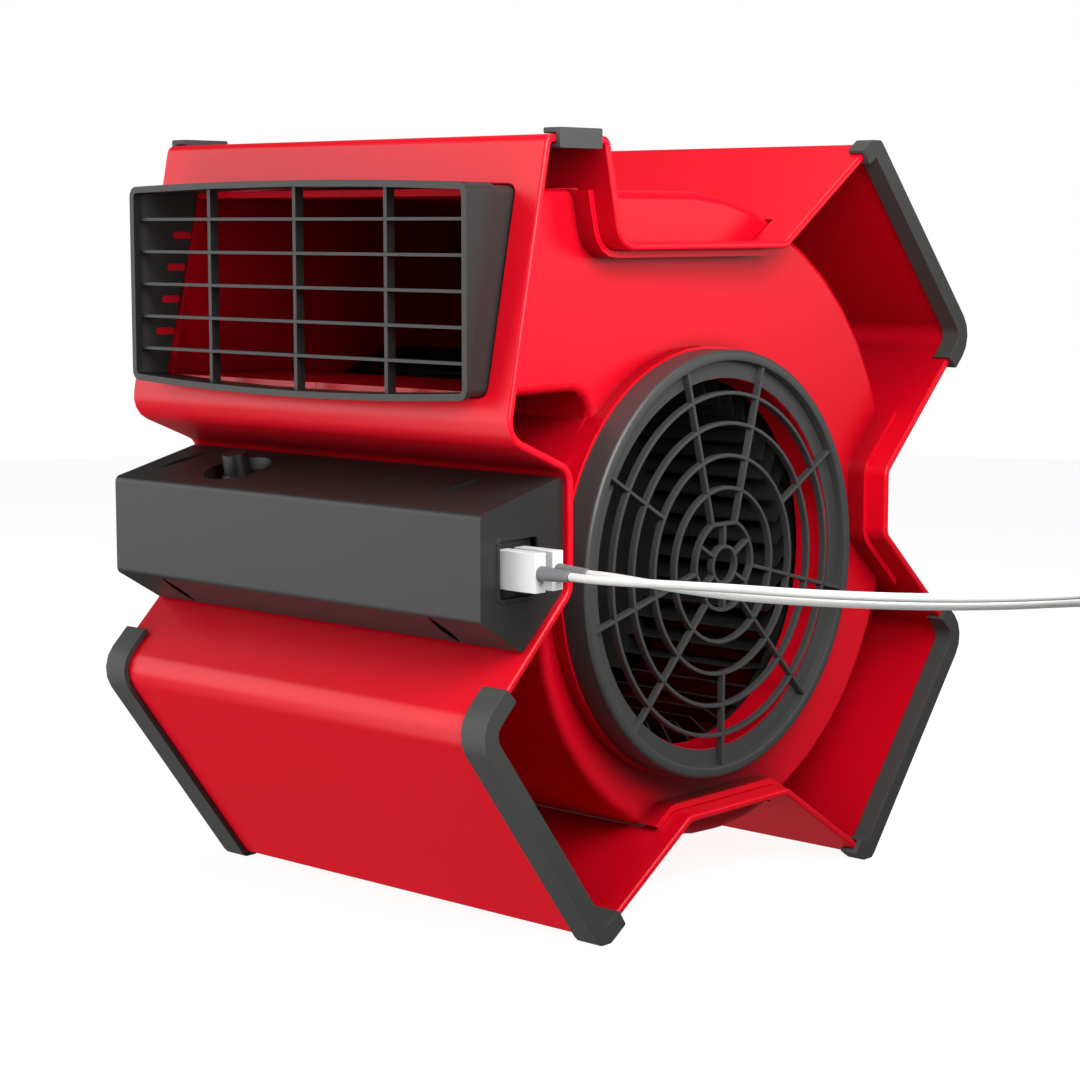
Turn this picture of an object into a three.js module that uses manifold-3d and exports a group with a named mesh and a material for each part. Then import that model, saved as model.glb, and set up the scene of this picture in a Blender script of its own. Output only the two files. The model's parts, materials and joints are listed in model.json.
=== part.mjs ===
// A six-position utility air mover: an X-shaped moulded band holds a centrifugal blower.
// Millimetres, +Z up. X is the wheel's axis with the air inlet on +X, and the outlet faces -Y.
// The origin is under the middle of the machine, on the surface that it stands on.

import * as THREE from "three";
import { mergeVertices } from "three/addons/utils/BufferGeometryUtils.js";
import Module from "manifold-3d";

const wasm = await Module();
wasm.setup();

// ---------------------------------------------------------------- driving dimensions

const GAP = 0.3;                 // between pieces that touch
const HEIGHT = 350;              // floor to the top bumpers
const HALF_WIDTH = 120;          // centre to the rim of the band
const WALL = 3.5;                // band thickness
const CASE_WALL = 3;             // volute thickness
const FACE_X = 100;              // outer plane of the volute's side faces
const PARTING_X = 109.4;         // outer edge of the flange round each side face
const CASE_ROUND = 4.5;           // rounded edge of the volute where it stands free

const AXIS_Y = -16;              // wheel axis
const AXIS_Z = 157.3;
const CENTRING_Y = 1.02;         // brings the middle of the depth to the origin

// Corners of the band's outer outline in Y and Z, each with its corner radius.
const NOTCH = { bottomZ: 42.5, topZ: 302.8, frontY: -124.5, backY: 113.5 };
const PANEL_TOP = [-138, 347];
const PANEL_BOTTOM = [-163.5, 223];
const FRONT_ARM = { nose: [-180.2, 103.6], foot: [-103.2, 0.6] };
const BACK_ARM = { nose: [177.2, 103.3], foot: [97.2, 0.6] };
const TOP_ARM = { nose: [178.7, 254.3], peak: [94.5, HEIGHT - 0.6] };
const NOSE_ROUND = 12;
const FOOT_ROUND = 4;
const BAND_CORNERS = [
  [...FRONT_ARM.foot, FOOT_ROUND],
  [-39.3, NOTCH.bottomZ, 5],
  [32.5, NOTCH.bottomZ, 5],
  [...BACK_ARM.foot, FOOT_ROUND],
  [...BACK_ARM.nose, NOSE_ROUND],
  [NOTCH.backY, 160, 5],
  [NOTCH.backY, 190, 5],
  [...TOP_ARM.nose, NOSE_ROUND],
  [...TOP_ARM.peak, FOOT_ROUND],
  [26.3, NOTCH.topZ, 4],
  [-88.5, NOTCH.topZ, 8],
  [-98.3, 347, 4.5],
  [...PANEL_TOP, 4.5],
  [...PANEL_BOTTOM, 12],
  [NOTCH.frontY, 207, 7],
  [NOTCH.frontY, 157.5, 7],
  [...FRONT_ARM.nose, NOSE_ROUND],
];

// The volute's spiral round the wheel axis, and its outlet duct.
const SPIRAL = { startDeg: 142, endDeg: 450, startR: 99.5, endR: 164.5, growth: 1.12, steps: 40 };
const ROOF_RISE = 3.5;           // how far the spiral still climbs before the duct's roof
const ROOF_FROM_DEG = 422;
const DUCT_FLOOR = 238.5;
const TONGUE = { y: -98.5, r: 12 };

// The wheel is a full-width drum of vanes round the motor, with its disc at discX.
const WHEEL = { r: 93, innerR: 76, leftX: -82, discX: 14, rightX: 92, vanes: 44, lean: 9 };
const INLET = {
  ringR: 97.4, openR: 90, collarR: 98.6, collarX: 106.5, lipR: 87.3, lipX: 114.7, throatR: 84.5,
};
const BUMPER = {
  outer: 2.8, inner: 1.8, capX: 122.6, deep: 13.6, slim: 9.4, longHook: 11, shortHook: 7.5,
};
const MOTOR_HOLE_R = 60;
const BOX_HALF = 117;            // control box, half its length
const BOX_WALL = 2.5;
const BOX_FRONT = -175.4;
const GROMMET = { x: -70, z: 182, r: 8 };   // where the wires pass from the control box to the motor
const USB = { ys: [-158.9, -148.2], z: 170, faceX: 113, plugEndX: 135 };
const LEAD_D = 3.5;
const OUTLET = {
  halfW: 106.6, z0: 239.3, z1: 327.2, archLow: 3.3, archHigh: 2, corner: 4.5,
  frontY: -172, lip: 3, rim: 2.8, neck: 1.2, neckDepth: 12,
};
const CHEEK_BACK_Y = -142;       // where the cheeks inside the outlet frame reach the duct's walls
const OUTLET_BARS = {
  y: -168.8, pitch: 14.67, height: 1.4, depth: 4, postX: 56, postW: 2, postDepth: 5.5,
};

// ---------------------------------------------------------------- colours

const RED = { color: 0xd6101f, roughness: 0.28, metalness: 0 };
const BLACK = { color: 0x3a3a3a, roughness: 0.6, metalness: 0 };
const RUBBER = { color: 0x2b2b2b, roughness: 0.8, metalness: 0 };
const STEEL = { color: 0xb5b8bb, roughness: 0.35, metalness: 1 };
const ZINC = { color: 0x8f9396, roughness: 0.5, metalness: 1 };
const WHITE = { color: 0xe6e6e8, roughness: 0.4, metalness: 0 };
const GREY = { color: 0x77797c, roughness: 0.6, metalness: 0 };
const CABLE = { color: 0xcfcfcb, roughness: 0.5, metalness: 0 };
const GREEN = { color: 0x1e5a35, roughness: 0.5, metalness: 0 };

// ---------------------------------------------------------------- outlines in a plane

// A closed outline pushed outwards by distance (inwards if negative); it runs anticlockwise.
function offsetOutline(points, distance) {
  return points.map((here, i) => {
    const before = points[(i + points.length - 1) % points.length];
    const after = points[(i + 1) % points.length];
    const n1 = outwardNormal(before, here);
    const n2 = outwardNormal(here, after);
    const scale = distance / (1 + n1[0] * n2[0] + n1[1] * n2[1]);
    return [here[0] + (n1[0] + n2[0]) * scale, here[1] + (n1[1] + n2[1]) * scale];
  });
}

function outwardNormal(a, b) {
  const length = Math.hypot(b[0] - a[0], b[1] - a[1]);
  return [(b[1] - a[1]) / length, (a[0] - b[0]) / length];
}

// Replaces the corner at `here` by an arc of radius r, as a few points.
function cornerArc(before, here, after, r) {
  const steps = r > 1.5 ? 4 : 2;
  const a = new THREE.Vector2(before[0] - here[0], before[1] - here[1]);
  const b = new THREE.Vector2(after[0] - here[0], after[1] - here[1]);
  a.normalize();
  b.normalize();
  const half = Math.acos(THREE.MathUtils.clamp(a.dot(b), -1, 1)) / 2;
  const bisector = a.clone().add(b).normalize();
  const centre = bisector.clone().multiplyScalar(r / Math.sin(half));
  const start = a.multiplyScalar(r / Math.tan(half)).sub(centre);
  const end = b.multiplyScalar(r / Math.tan(half)).sub(centre);
  const from = start.angle();
  const sweep = Math.atan2(start.cross(end), start.dot(end));
  return Array.from({ length: steps + 1 }, (_, i) => {
    const angle = from + (sweep * i) / steps;
    return [here[0] + centre.x + r * Math.cos(angle), here[1] + centre.y + r * Math.sin(angle)];
  });
}

// A closed outline with its corners [y, z, radius] rounded.
function roundedOutline(corners) {
  return corners.flatMap((here, i) => {
    const before = corners[(i + corners.length - 1) % corners.length];
    const after = corners[(i + 1) % corners.length];
    return here[2] > 0 ? cornerArc(before, here, after, here[2]) : [[here[0], here[1]]];
  });
}

// The band's outline moved in or out, with every round corner kept parallel.
function bandOutline(distance) {
  const moved = offsetOutline(BAND_CORNERS, distance);
  return roundedOutline(moved.map(([y, z], i) => {
    const before = BAND_CORNERS[(i + BAND_CORNERS.length - 1) % BAND_CORNERS.length];
    const after = BAND_CORNERS[(i + 1) % BAND_CORNERS.length];
    const here = BAND_CORNERS[i];
    const turn = (here[0] - before[0]) * (after[1] - here[1]) - (here[1] - before[1]) * (after[0] - here[0]);
    return [y, z, Math.max(0.6, here[2] + (turn > 0 ? distance : -distance))];
  }));
}

// The volute's outline: duct floor, tongue, spiral and duct roof.
function voluteOutline() {
  const points = [[-185, DUCT_FLOOR]];
  for (let deg = 90; deg >= 0; deg -= 22.5) {
    const a = THREE.MathUtils.degToRad(deg);
    points.push([TONGUE.y + TONGUE.r * Math.cos(a), DUCT_FLOOR - TONGUE.r + TONGUE.r * Math.sin(a)]);
  }
  for (let i = 0; i <= SPIRAL.steps; i++) {
    const deg = SPIRAL.startDeg + ((SPIRAL.endDeg - SPIRAL.startDeg) * i) / SPIRAL.steps;
    const r = spiralRadius(deg);
    const a = THREE.MathUtils.degToRad(deg);
    points.push([AXIS_Y + r * Math.cos(a), AXIS_Z + r * Math.sin(a)]);
  }
  points.push([-185, AXIS_Z + spiralRadius(SPIRAL.endDeg)]);
  return points;
}

function spiralRadius(deg) {
  const t = Math.min(1, (SPIRAL.growth * (deg - SPIRAL.startDeg)) / (SPIRAL.endDeg - SPIRAL.startDeg));
  const climb = Math.max(0, deg - ROOF_FROM_DEG) / (SPIRAL.endDeg - ROOF_FROM_DEG);
  return SPIRAL.startR + (SPIRAL.endR - SPIRAL.startR) * t * t * (3 - 2 * t) + ROOF_RISE * climb;
}

// ---------------------------------------------------------------- solids

const X = new THREE.Vector3(1, 0, 0);
const Y = new THREE.Vector3(0, 1, 0);
const Z = new THREE.Vector3(0, 0, 1);
const YZ_TO_X = new THREE.Matrix4().makeBasis(Y, Z, X);
const XZ_TO_FRONT = new THREE.Matrix4().makeBasis(X, Z, Y.clone().negate());
const LATHE_TO_X = new THREE.Matrix4().makeBasis(Y, X, Z.clone().negate());
const LATHE_TO_Z = new THREE.Matrix4().makeBasis(X, Z, Y.clone().negate());

function solid(geometry) {
  geometry.deleteAttribute("normal");
  geometry.deleteAttribute("uv");
  const merged = mergeVertices(geometry, 1e-4);
  const corners = [];
  for (let i = 0; i < merged.index.count; i += 3) {
    const [a, b, c] = [0, 1, 2].map((k) => merged.index.getX(i + k));
    if (a !== b && b !== c && c !== a) {
      corners.push(a, b, c);
    }
  }
  const mesh = new wasm.Mesh({
    numProp: 3,
    vertProperties: new Float32Array(merged.attributes.position.array),
    triVerts: new Uint32Array(corners),
  });
  return new wasm.Manifold(mesh);
}

function geometryOf(piece) {
  const mesh = piece.getMesh();
  const geometry = new THREE.BufferGeometry();
  geometry.setAttribute("position", new THREE.BufferAttribute(new Float32Array(mesh.vertProperties), 3));
  geometry.setIndex(new THREE.BufferAttribute(new Uint32Array(mesh.triVerts), 1));
  geometry.computeVertexNormals();
  return geometry;
}

function shapeOf(points) {
  return new THREE.Shape(points.map(([a, b]) => new THREE.Vector2(a, b)));
}

// An outline in Y and Z, extruded along X.
function prismX(points, x0, x1) {
  const geometry = new THREE.ExtrudeGeometry(shapeOf(points), { depth: x1 - x0, bevelEnabled: false });
  geometry.applyMatrix4(YZ_TO_X);
  return solid(geometry).translate([x0, 0, 0]);
}

// An outline in X and Z, extruded along Y.
function prismY(points, y0, y1) {
  const geometry = new THREE.ExtrudeGeometry(shapeOf(points), { depth: y1 - y0, bevelEnabled: false });
  geometry.applyMatrix4(XZ_TO_FRONT);
  return solid(geometry).translate([0, y1, 0]);
}

// The same prism along X with both outer edges rounded.
function roundedPrismX(points, x0, x1, r) {
  const geometry = new THREE.ExtrudeGeometry(shapeOf(points), {
    depth: x1 - x0 - 2 * r, bevelThickness: r, bevelSize: r, bevelOffset: -r, bevelSegments: 2,
  });
  geometry.applyMatrix4(YZ_TO_X);
  return solid(geometry).translate([x0 + r, 0, 0]);
}

function block(x0, x1, y0, y1, z0, z1) {
  const geometry = new THREE.BoxGeometry(x1 - x0, y1 - y0, z1 - z0);
  return solid(geometry).translate([(x0 + x1) / 2, (y0 + y1) / 2, (z0 + z1) / 2]);
}

// A profile of [radius, x], anticlockwise with radius across and x up, turned round the X axis.
function latheX(profile, segments, y = AXIS_Y, z = AXIS_Z) {
  const points = [...profile, profile[0]].map(([r, x]) => new THREE.Vector2(r, x));
  const geometry = new THREE.LatheGeometry(points, segments);
  geometry.applyMatrix4(LATHE_TO_X);
  return solid(geometry).translate([0, y, z]);
}

function ringX(innerR, outerR, x0, x1, segments, y = AXIS_Y, z = AXIS_Z) {
  return latheX([[innerR, x0], [outerR, x0], [outerR, x1], [innerR, x1]], segments, y, z);
}

function rodX(r, x0, x1, segments, y = AXIS_Y, z = AXIS_Z) {
  const geometry = new THREE.CylinderGeometry(r, r, x1 - x0, segments);
  geometry.applyMatrix4(LATHE_TO_X);
  return solid(geometry).translate([(x0 + x1) / 2, y, z]);
}

function rodZ(r0, r1, z0, z1, segments) {
  const geometry = new THREE.CylinderGeometry(r1, r0, z1 - z0, segments);
  geometry.applyMatrix4(LATHE_TO_Z);
  return solid(geometry).translate([0, 0, (z0 + z1) / 2]);
}

const part = new THREE.Group();
part.position.y = CENTRING_Y;

function add(name, piece, look, place = part) {
  const mesh = new THREE.Mesh(geometryOf(piece), new THREE.MeshStandardMaterial(look));
  mesh.name = name;
  place.add(mesh);
  return mesh;
}

// ---------------------------------------------------------------- band and volute

// Everything behind a plane parallel to the outlet panel, moved forwards by distance.
function behindPanel(distance) {
  const dy = PANEL_TOP[0] - PANEL_BOTTOM[0];
  const dz = PANEL_TOP[1] - PANEL_BOTTOM[1];
  const length = Math.hypot(dy, dz);
  const shift = [(-dz / length) * distance, (dy / length) * distance];
  const along = (t) => [PANEL_BOTTOM[0] + dy * t + shift[0], PANEL_BOTTOM[1] + dz * t + shift[1]];
  const [low, high] = [along(-3), along(3)];
  return prismX([low, [HEIGHT, low[1]], [HEIGHT, high[1]], high], -HALF_WIDTH * 2, HALF_WIDTH * 2);
}

// Where the volute passes through the band: the floors of the top and bottom notches.
function throughFloors() {
  return block(-FACE_X * 2, FACE_X * 2, -102, 62, 285, 345).add(
    block(-FACE_X * 2, FACE_X * 2, -80, 75, 10, 62));
}

function xBand() {
  let band = prismX(bandOutline(0), -HALF_WIDTH, HALF_WIDTH);
  band = band.subtract(prismX(bandOutline(-WALL), -HALF_WIDTH - 1, HALF_WIDTH + 1));
  const window = prismX(offsetOutline(voluteOutline(), GAP + 0.1), -FACE_X - GAP, FACE_X + GAP);
  band = band.subtract(window.intersect(throughFloors()));
  band = band.subtract(prismY(archedFrame(OUTLET.neck - GAP), OUTLET.frontY, NOTCH.frontY));
  const wiring = circle(GROMMET.x, GROMMET.z, GROMMET.r + GAP, 20);
  return band.subtract(prismY(wiring, NOTCH.frontY - 5, NOTCH.frontY + 8));
}

function circle(a, b, r, steps) {
  return Array.from({ length: steps }, (_, i) => {
    const angle = (2 * Math.PI * i) / steps;
    return [a + r * Math.cos(angle), b + r * Math.sin(angle)];
  });
}

// One half of the volute, on +X: side face, spiral wall and the flange against the band.
function voluteHalf() {
  const outline = voluteOutline();
  const inside = (extra) => prismX(bandOutline(-WALL - GAP - extra), -FACE_X * 2, FACE_X * 2);
  const outer = roundedPrismX(outline, -FACE_X, FACE_X, CASE_ROUND).intersect(inside(0).add(throughFloors()));
  const mouth = block(-FACE_X, FACE_X, -200, NOTCH.frontY, DUCT_FLOOR, OUTLET.z1);
  const hollow = prismX(offsetOutline(outline, -CASE_WALL), -FACE_X + CASE_WALL, FACE_X - CASE_WALL)
    .intersect(inside(CASE_WALL).add(throughFloors()).add(mouth));
  const flange = prismX(bandOutline(-WALL - GAP), FACE_X - CASE_WALL, PARTING_X)
    .subtract(prismX(bandOutline(-WALL - GAP - CASE_WALL), 0, HALF_WIDTH))
    .intersect(prismX(offsetOutline(outline, -0.5), 0, HALF_WIDTH));
  return outer.subtract(hollow).add(flange)
    .intersect(block(GAP / 2, HALF_WIDTH, -300, 300, 0, 400))
    .intersect(behindPanel(-WALL - GAP));
}

// The air inlet: a stepped collar that the round guard sits on, with a lip inside the guard's ring.
function rightVolute() {
  const { collarR, collarX, lipR, lipX, throatR } = INLET;
  const backX = FACE_X - CASE_WALL;
  const collar = latheX([
    [throatR, backX], [collarR, backX], [collarR, collarX], [lipR, collarX], [lipR, lipX], [throatR, lipX],
  ], 48);
  return voluteHalf().subtract(rodX(lipR, backX - CASE_WALL, FACE_X + CASE_WALL, 48)).add(collar);
}

// The motor side: the air passes between the motor's bracket and a rimmed hole.
function leftVolute() {
  const hole = rodX(MOTOR_HOLE_R, FACE_X - 8, FACE_X + 8, 40);
  const rim = ringX(MOTOR_HOLE_R, MOTOR_HOLE_R + 4, FACE_X - CASE_WALL, FACE_X + 4, 40);
  return voluteHalf().subtract(hole).add(rim).mirror([1, 0, 0]);
}

add("x_band", xBand(), RED);
add("volute_right", rightVolute(), RED);
add("volute_left", leftVolute(), RED);

// ---------------------------------------------------------------- grilles

const polar = (r, deg) => {
  const angle = THREE.MathUtils.degToRad(deg);
  return [AXIS_Y + r * Math.cos(angle), AXIS_Z + r * Math.sin(angle)];
};

const GUARD_ARMS = [90, 210, 330];   // directions of the three pairs of long bars
const GUARD_FLAT = 24;               // half the angle of each flat side of the innermost bar
const GUARD_SPREAD = 17.3;           // half the angle between the far ends of a pair of long bars

// A round guard on +X: its ring's profile, concentric bars, long bars in pairs and short ones between.
function roundGuard({ ring, openR, barX, radii, hubR, barW, barD }) {
  const innerR = radii[radii.length - 1];
  const bar = (from, to) => {
    const [a, b] = [polar(...from), polar(...to)];
    const turn = THREE.MathUtils.radToDeg(Math.atan2(b[1] - a[1], b[0] - a[0]));
    return block(barX - barD, barX - 0.4, 0, Math.hypot(b[0] - a[0], b[1] - a[1]), -barW / 2, barW / 2)
      .rotate([turn, 0, 0])
      .translate([0, ...a]);
  };
  const round = 120 - 2 * GUARD_FLAT;
  const inner = GUARD_ARMS.flatMap((deg) => (
    [0, 0.25, 0.5, 0.75, 1].map((share) => polar(innerR, deg + GUARD_FLAT + round * share))));
  let guard = latheX(ring, 48)
    .add(prismX(offsetOutline(inner, barW / 2), barX - barD, barX)
      .subtract(prismX(offsetOutline(inner, -barW / 2), barX - barD - 1, barX + 1)))
    .add(ringX(hubR - barW / 2, hubR + barW / 2, barX - barD, barX, 16));
  for (const r of radii.slice(0, -1)) {
    guard = guard.add(ringX(r - barW / 2, r + barW / 2, barX - barD, barX, Math.round(12 + r * 0.22)));
  }
  for (const deg of GUARD_ARMS) {
    for (const side of [-1, 1]) {
      guard = guard.add(bar([innerR, deg + side * GUARD_FLAT], [openR + 0.7, deg + side * GUARD_SPREAD]));
    }
    guard = guard.add(bar([hubR, deg], [innerR * Math.cos(THREE.MathUtils.degToRad(GUARD_FLAT)), deg]))
      .add(bar([hubR, deg + 60], [innerR, deg + 60]))
      .add(bar([radii[Math.floor(radii.length / 2)], deg + 60], [openR + 1, deg + 60]));
  }
  return guard;
}

// The ring sits on the collar, and a thin flange inside it covers the front of the lip.
const inletSeat = INLET.collarX + GAP;
const flangeX = INLET.lipX + GAP;
const inletGuard = roundGuard({
  ring: [
    [INLET.lipR + GAP, inletSeat], [INLET.ringR, inletSeat], [INLET.ringR, HALF_WIDTH - 1],
    [INLET.ringR - 1, HALF_WIDTH], [INLET.openR, HALF_WIDTH], [INLET.throatR + 0.5, flangeX + 0.8],
    [INLET.throatR, flangeX], [INLET.lipR + GAP, flangeX],
  ],
  openR: INLET.openR, barX: HALF_WIDTH - 1, barW: 1.8, barD: 3.2, hubR: 8.4,
  radii: [0.8, 0.66, 0.51, 0.36, 0.21].map((share) => share * INLET.ringR),
});
add("inlet_grille", inletGuard, BLACK);

const MOTOR_GUARD = { ringR: 78, openR: 71, depth: 10 };
const motorGuard = roundGuard({
  ring: [
    [MOTOR_GUARD.openR, FACE_X + GAP], [MOTOR_GUARD.ringR, FACE_X + GAP],
    [MOTOR_GUARD.ringR, FACE_X + MOTOR_GUARD.depth - 1], [MOTOR_GUARD.ringR - 1, FACE_X + MOTOR_GUARD.depth],
    [MOTOR_GUARD.openR, FACE_X + MOTOR_GUARD.depth],
  ],
  openR: MOTOR_GUARD.openR, barX: FACE_X + MOTOR_GUARD.depth - 1, barW: 2.4, barD: 3.4, hubR: 8.4,
  radii: [59.3, 39.8, 20.3],
});
add("motor_grille", motorGuard.mirror([1, 0, 0]), BLACK);

// The outlet frame's outline in X and Z: a rectangle with arched edges and round corners.
function archedFrame(inset) {
  const half = OUTLET.halfW - inset;
  const round = Math.max(0.6, OUTLET.corner - inset);
  const edge = (sign, z, rise) => Array.from({ length: 9 }, (_, i) => {
    const t = i / 4 - 1;
    return [sign * half * t, z + rise * (1 - t * t), i % 8 === 0 ? round : 0];
  });
  return roundedOutline([
    ...edge(1, OUTLET.z0 + inset, -OUTLET.archLow),
    ...edge(-1, OUTLET.z1 - inset, OUTLET.archHigh),
  ]);
}

// An upright front frame with a wedge behind it, a neck into the band, and a grid of bars.
function outletGrille() {
  const { halfW, z0, z1, frontY, lip, rim, neck, neckDepth } = OUTLET;
  const { y, pitch, height, depth, postX, postW, postDepth } = OUTLET_BARS;
  const wedge = prismY(archedFrame(0), frontY, NOTCH.frontY).subtract(behindPanel(neckDepth));
  const lipPlate = prismY(archedFrame(0), frontY, frontY + lip);
  const neckTube = prismY(archedFrame(neck), frontY + 1, NOTCH.frontY).subtract(behindPanel(GAP - WALL));
  const middleZ = (z0 + z1) / 2;
  const middle = block(-halfW + 1, halfW - 1, y, y + depth, middleZ - height / 2, middleZ + height / 2);
  let bars = middle;
  for (const i of [-2, -1, 1, 2]) {
    bars = bars.add(middle.translate([0, 0, i * pitch]));
  }
  for (const x of [-postX, 0, postX]) {
    bars = bars.add(block(x - postW / 2, x + postW / 2, y + 0.8, y + postDepth, z0 - 5, z1 + 5));
  }
  // A cheek on each side leads the air from the narrower duct out to the frame.
  const cheekX = halfW - rim + 0.5;
  const ductX = FACE_X - CASE_WALL + GAP;
  const cheekShape = shapeOf([
    [cheekX, frontY + lip], [cheekX, NOTCH.frontY], [ductX, NOTCH.frontY], [ductX, CHEEK_BACK_Y],
  ]);
  const cheekHeight = z1 - z0 - 2 * rim;
  const cheek = solid(new THREE.ExtrudeGeometry(cheekShape, { depth: cheekHeight, bevelEnabled: false }))
    .translate([0, 0, z0 + rim])
    .subtract(behindPanel(GAP - WALL));
  return wedge.add(lipPlate).add(neckTube)
    .subtract(prismY(archedFrame(rim), frontY - 1, NOTCH.frontY + 1))
    .add(bars.intersect(prismY(archedFrame(rim - 0.5), frontY, NOTCH.frontY)))
    .add(cheek)
    .add(cheek.mirror([1, 0, 0]));
}

add("outlet_grille", outletGrille(), BLACK);

// ---------------------------------------------------------------- wheel

function vane() {
  const { r, innerR, lean, leftX, rightX } = WHEEL;
  const half = 0.6;
  const tip = new THREE.Vector2(r - 0.8, 0).rotateAround(new THREE.Vector2(), THREE.MathUtils.degToRad(lean));
  return prismX([
    [innerR, -half], [tip.x + half / 2, tip.y - half], [tip.x - half / 2, tip.y + half], [innerR, half],
  ], leftX + 1, rightX - 1);
}

function blowerWheel() {
  const { r, innerR, leftX, discX, rightX } = WHEEL;
  const rimW = 3.6;
  let wheel = latheX([
    [23, discX], [60, discX - 2], [innerR + 1, discX - 2], [innerR + 1, discX], [60, discX + 2],
    [46, discX + 9], [30, discX + 12], [12.4, discX + 12], [12.4, discX + 10], [23, discX + 10],
  ], WHEEL.vanes);
  const hoops = [[innerR, discX - 2, discX], [r - rimW, leftX, leftX + 4], [r - rimW, rightX - 4, rightX]];
  for (const [inner, x0, x1] of hoops) {
    wheel = wheel.add(ringX(inner, r, x0, x1, WHEEL.vanes));
  }
  const blade = vane();
  for (let i = 0; i < WHEEL.vanes; i++) {
    wheel = wheel.add(blade.rotate([(360 * i) / WHEEL.vanes, 0, 0]).translate([0, AXIS_Y, AXIS_Z]));
  }
  return wheel;
}

// ---------------------------------------------------------------- motor, inside the wheel

const SHAFT = { r: 4, leftX: -88, rightX: 38 };
const SCREW_X = 29;
const SCREW_R = 2;
const hub = latheX([
  [SHAFT.r + GAP, 10], [20, 10], [20, WHEEL.discX + 9.7], [12.1, WHEEL.discX + 9.7],
  [12.1, WHEEL.discX + 20], [SHAFT.r + GAP, WHEEL.discX + 20],
], 28).subtract(rodZ(SCREW_R + GAP, SCREW_R + GAP, 2, 30, 12).translate([SCREW_X, AXIS_Y, AXIS_Z]));
add("blower_wheel", blowerWheel(), BLACK);
add("wheel_hub", hub, ZINC);
const setScrew = rodZ(SCREW_R, SCREW_R, SHAFT.r + GAP, 11.4, 10).translate([SCREW_X, AXIS_Y, AXIS_Z]);
add("hub_set_screw", setScrew, STEEL);
add("motor_shaft", rodX(SHAFT.r, SHAFT.leftX, SHAFT.rightX, 16), STEEL);
add("motor_rotor", ringX(SHAFT.r + GAP, 25.5, -62, -22, 28), ZINC);
add("cooling_fan", coolingFan(), BLACK);

function coolingFan() {
  const blades = 8;
  const blade = block(-10, -4, 8, 29, -0.7, 0.7);
  let fan = ringX(SHAFT.r + GAP, 9, -10, -3, 20).add(ringX(8, 30, -4.6, -3, 28));
  for (let i = 0; i < blades; i++) {
    fan = fan.add(blade.rotate([(360 * i) / blades, 0, 0]).translate([0, AXIS_Y, AXIS_Z]));
  }
  return fan;
}

const MOTOR = { r: 46, statorX: [-69.7, -16.3], bearingR: 11, bracketX: [-96.7, -94.7], earR: 54, bolts: 3 };
const earPlace = (i) => polar(MOTOR.earR, 90 + (360 / MOTOR.bolts) * i);

function rearBell() {
  let bell = latheX([
    [MOTOR.bearingR + GAP, -83], [26, -83], [MOTOR.r, -76], [MOTOR.r, -70], [42, -70], [42, -74], [25, -80],
    [MOTOR.bearingR + GAP, -80],
  ], 24);
  for (let i = 0; i < MOTOR.bolts; i++) {
    bell = bell.add(rodX(9, -76, -72, 12, ...earPlace(i))).subtract(rodX(2.6, -80, -70, 8, ...earPlace(i)));
  }
  return bell;
}

function motorBracket() {
  let plate = ringX(34, 72, ...MOTOR.bracketX, 28);
  for (let i = 0; i < MOTOR.bolts; i++) {
    plate = plate.subtract(rodX(2.6, -100, -90, 8, ...earPlace(i)));
  }
  return plate;
}

add("motor_stator", ringX(26.2, MOTOR.r, ...MOTOR.statorX, 36), ZINC);
add("motor_front_bell", latheX([
  [42, -16], [MOTOR.r, -16], [MOTOR.r, -13.4], [31, -11.2], [MOTOR.bearingR + GAP, -11.2],
  [MOTOR.bearingR + GAP, -14], [30, -14],
], 28), STEEL);
add("motor_rear_bell", rearBell(), STEEL);
add("front_bearing", ringX(SHAFT.r + GAP, MOTOR.bearingR, -19, -11.6, 20), STEEL);
add("rear_bearing", ringX(SHAFT.r + GAP, MOTOR.bearingR, -83, -76, 20), STEEL);
add("motor_bracket", motorBracket(), STEEL);
for (let i = 0; i < MOTOR.bolts; i++) {
  add(`motor_grommet_${i + 1}`, ringX(2.7, 7.5, -94.4, -76.3, 12, ...earPlace(i)), RUBBER);
  const screw = rodX(2.2, -97.5, -71.6, 10, ...earPlace(i)).add(rodX(4.4, -71.7, -68.8, 6, ...earPlace(i)));
  add(`motor_screw_${i + 1}`, screw, STEEL);
}

// ---------------------------------------------------------------- bumpers

// A rubber channel over the edge of an arm's end wall, hooked round both of its corners, on +X.
function bumper(path, depth) {
  const strip = (a, b) => {
    const outer = openOffset(path, a);
    const inner = openOffset(path, b);
    return roundedOutline([...outer, ...inner.reverse()]);
  };
  const { outer, inner, capX } = BUMPER;
  return prismX(strip(outer, -WALL - inner - GAP), HALF_WIDTH + GAP, capX)
    .add(prismX(strip(outer, GAP), capX - depth, capX))
    .add(prismX(strip(-WALL - GAP, -WALL - inner - GAP), capX - depth, capX))
    .intersect(block(0, HALF_WIDTH * 2, -300, 300, 0, HEIGHT));
}

// An open path of [y, z, radius] pushed to its right-hand side by distance.
function openOffset(path, distance) {
  return path.map((here, i) => {
    const n1 = outwardNormal(path[Math.max(0, i - 1)], path[Math.max(1, i)]);
    const n2 = outwardNormal(path[Math.min(path.length - 2, i)], path[Math.min(path.length - 1, i + 1)]);
    const scale = distance / (1 + n1[0] * n2[0] + n1[1] * n2[1]);
    const round = here[2] ? Math.max(0.5, here[2] + distance) : 0.8;
    return [here[0] + (n1[0] + n2[0]) * scale, here[1] + (n1[1] + n2[1]) * scale, round];
  });
}

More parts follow.
